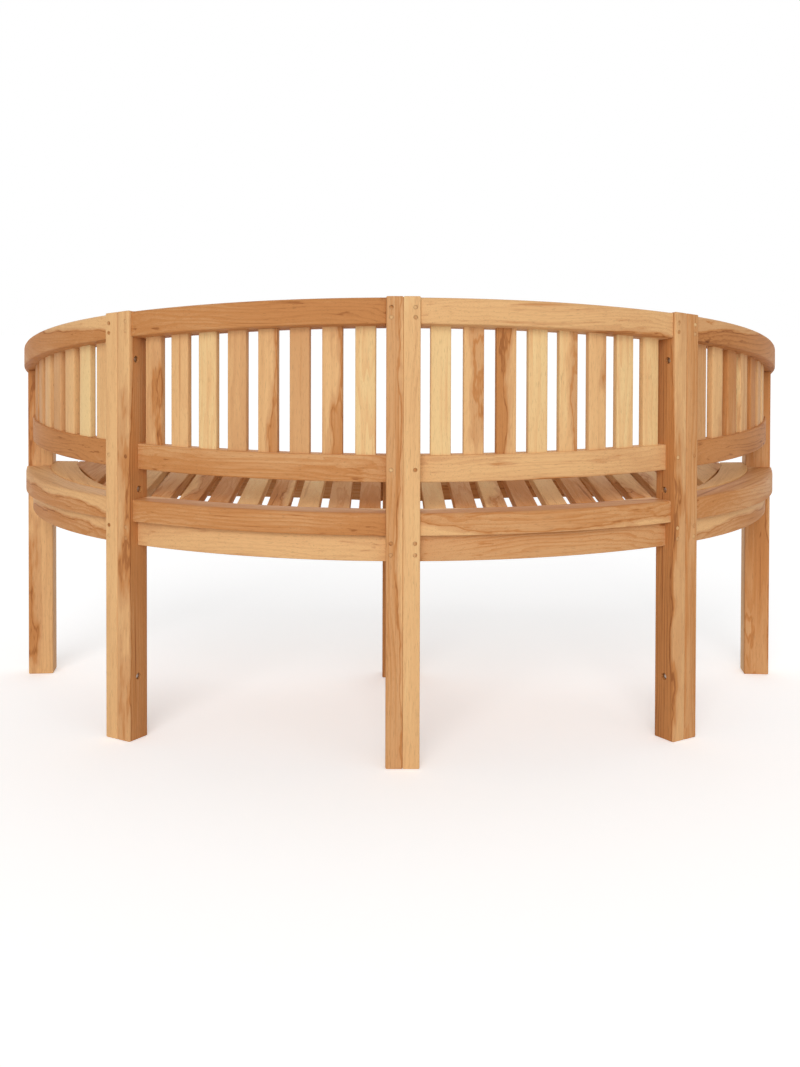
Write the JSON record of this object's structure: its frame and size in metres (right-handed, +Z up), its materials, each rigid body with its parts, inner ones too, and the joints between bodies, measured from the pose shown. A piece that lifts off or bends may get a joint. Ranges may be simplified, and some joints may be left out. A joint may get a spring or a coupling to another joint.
{
  "type": "curved garden bench",
  "caption": "Half-moon garden bench of solid teak with a slatted curved back, a slatted seat and bolted pairs of legs, to stand free or round a tree.",
  "frame": {"origin": "on the ground under the middle of the bounding box", "axes": "+Z up, +Y the way the sitter faces, -Y the outside of the curved back, X along the bench"},
  "size_m": [1.6004, 0.627, 0.8],
  "materials": {
    "teak_legs": "oiled, satin",
    "teak_rails": "oiled, satin",
    "teak_back_slats": "oiled, satin",
    "teak_seat_slats": "oiled, satin",
    "teak_seat_frame": "oiled, satin",
    "teak_under_seat": "sawn, matt",
    "teak_pegs": "end grain, matt",
    "stainless_steel": "slightly dulled"
  },
  "bodies": {
    "root": {"back_apron_left_end": "teak_seat_frame", "back_apron_left_middle": "teak_seat_frame", "back_apron_right_end": "teak_seat_frame", "back_apron_right_middle": "teak_seat_frame", "back_leg_left_inner": "teak_legs", "back_leg_left_outer": "teak_legs", "back_leg_middle_left": "teak_legs", "back_leg_middle_right": "teak_legs", "back_leg_right_inner": "teak_legs", "back_leg_right_outer": "teak_legs", "back_slats_left_end": "teak_back_slats", "back_slats_left_middle": "teak_back_slats", "back_slats_right_end": "teak_back_slats", "back_slats_right_middle": "teak_back_slats", "bearer_left": "teak_under_seat", "bearer_middle_left": "teak_under_seat", "bearer_middle_right": "teak_under_seat", "bearer_right": "teak_under_seat", "bolts": "stainless_steel", "end_leg_left": "teak_legs", "end_leg_right": "teak_legs", "front_apron_left": "teak_under_seat", "front_apron_right": "teak_under_seat", "front_leg_middle_left": "teak_legs", "front_leg_middle_right": "teak_legs", "lower_back_rail_left_end": "teak_rails", "lower_back_rail_left_middle": "teak_rails", "lower_back_rail_right_end": "teak_rails", "lower_back_rail_right_middle": "teak_rails", "nuts": "stainless_steel", "pegs": "teak_pegs", "seat_end_board_left": "teak_seat_frame", "seat_end_board_right": "teak_seat_frame", "seat_ledger_left_end": "teak_under_seat", "seat_ledger_left_middle": "teak_under_seat", "seat_ledger_right_end": "teak_under_seat", "seat_ledger_right_middle": "teak_under_seat", "seat_rim_left_end": "teak_seat_frame", "seat_rim_left_middle": "teak_seat_frame", "seat_rim_right_end": "teak_seat_frame", "seat_rim_right_middle": "teak_seat_frame", "seat_slat_middle": "teak_seat_slats", "seat_slats_left": "teak_seat_slats", "seat_slats_right": "teak_seat_slats", "top_rail_left_end": "teak_rails", "top_rail_left_middle": "teak_rails", "top_rail_right_end": "teak_rails", "top_rail_right_middle": "teak_rails"}
  },
  "joints": []
}
